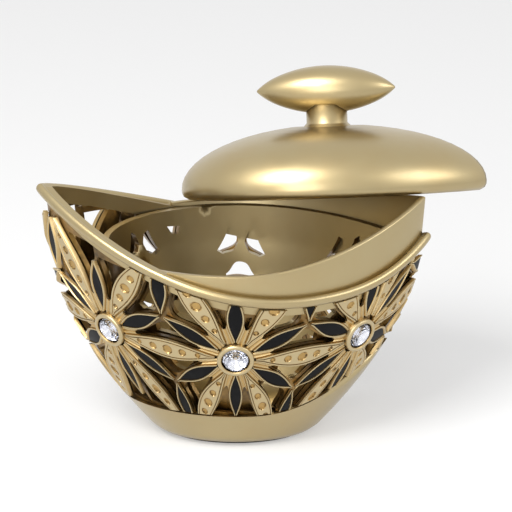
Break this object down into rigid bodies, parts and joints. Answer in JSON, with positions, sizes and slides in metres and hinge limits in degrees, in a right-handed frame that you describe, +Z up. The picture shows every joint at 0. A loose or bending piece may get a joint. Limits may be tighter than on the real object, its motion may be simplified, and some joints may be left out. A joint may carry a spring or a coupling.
{
  "type": "decorative keepsake box",
  "caption": "Boat-shaped openwork keepsake box with a raised prow, enamelled flower band, crystal centres, a smooth inner cup and a loose domed lid with a marquise knob.",
  "frame": {"origin": "centre of the felt pad's underside, on the table", "axes": "+Z up, +X along the bowl towards the collar's high end, -Y towards the viewer of the front"},
  "size_m": [0.2098, 0.1369, 0.1629],
  "materials": {
    "gold": "satin",
    "enamel": "gloss",
    "crystal": "gloss",
    "felt": "matte",
    "steel": "satin"
  },
  "bodies": {
    "box": {"felt_pad": "felt", "foot_bowl": "gold", "pierced_wall": "gold", "rim_bead": "gold", "collar": "gold", "inner_cup": "gold", "flower_1_petals": "gold", "flower_1_enamel": "enamel", "bezel_1": "gold", "crystal_1": "crystal", "flower_2_petals": "gold", "flower_2_enamel": "enamel", "bezel_2": "gold", "crystal_2": "crystal", "flower_3_petals": "gold", "flower_3_enamel": "enamel", "bezel_3": "gold", "crystal_3": "crystal", "flower_4_petals": "gold", "flower_4_enamel": "enamel", "bezel_4": "gold", "crystal_4": "crystal", "flower_5_petals": "gold", "flower_5_enamel": "enamel", "bezel_5": "gold", "crystal_5": "crystal", "flower_6_petals": "gold", "flower_6_enamel": "enamel", "bezel_6": "gold", "crystal_6": "crystal", "flower_7_petals": "gold", "flower_7_enamel": "enamel", "bezel_7": "gold", "crystal_7": "crystal"},
    "lid": {"lid_shell": "gold", "knob_stem": "gold", "knob_pin": "steel", "knob": "gold"}
  },
  "joints": [
    {"name": "lid_lift", "type": "slide", "parent": "box", "child": "lid", "axis": [0, 0, 1], "range_m": [0, 0.12]}
  ]
}
